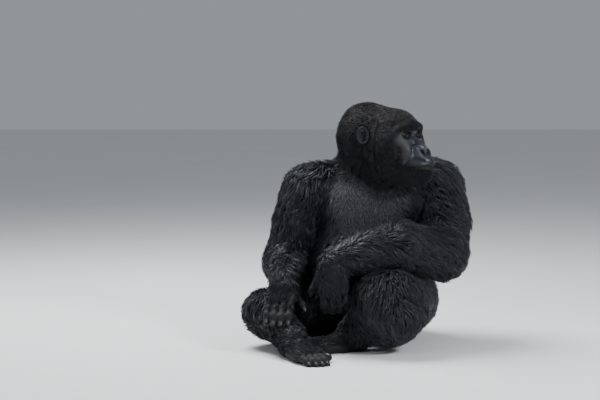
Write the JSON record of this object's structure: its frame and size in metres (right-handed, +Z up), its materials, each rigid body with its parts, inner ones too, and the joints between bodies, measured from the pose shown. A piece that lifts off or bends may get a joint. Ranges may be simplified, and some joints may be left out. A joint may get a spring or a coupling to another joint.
{
  "type": "gorilla",
  "caption": "Life-size still model of an adult male mountain gorilla sitting with one forearm across its lap and its head turned to its left.",
  "frame": {"origin": "on the floor under the middle of the model's outline seen from above", "axes": "+Z up; the animal's chest faces -Y and its left side is +X; its face looks towards +X and -Y, 55 degrees round from -Y"},
  "size_m": [0.8826, 0.9074, 0.9095],
  "materials": {
    "coat": "long black fur, matt with a soft sheen",
    "chest_coat": "short grey fur",
    "skin": "dark grey bare skin, slightly shiny",
    "eye": "wet, glossy dark brown",
    "nail": "dark horn, satin"
  },
  "bodies": {
    "root": {"head": "coat", "jaw": "coat", "neck": "coat", "belly": "coat", "upper_arm_left": "coat", "upper_arm_right": "coat", "forearm_left": "coat", "forearm_right": "coat", "thigh_left": "coat", "thigh_right": "coat", "shin_left": "coat", "shin_right": "coat", "chest": "chest_coat", "ear_left": "skin", "ear_right": "skin", "hand_left": "skin", "hand_right": "skin", "foot_left": "skin", "foot_right": "skin", "eye_left": "eye", "eye_right": "eye", "nail_hand_left_little": "nail", "nail_hand_left_fourth": "nail", "nail_hand_left_middle": "nail", "nail_hand_left_second": "nail", "nail_hand_left_first": "nail", "nail_hand_right_little": "nail", "nail_hand_right_fourth": "nail", "nail_hand_right_middle": "nail", "nail_hand_right_second": "nail", "nail_hand_right_first": "nail", "nail_foot_left_little": "nail", "nail_foot_left_fourth": "nail", "nail_foot_left_middle": "nail", "nail_foot_left_second": "nail", "nail_foot_left_first": "nail", "nail_foot_right_little": "nail", "nail_foot_right_fourth": "nail", "nail_foot_right_middle": "nail", "nail_foot_right_second": "nail", "nail_foot_right_first": "nail"}
  },
  "joints": []
}
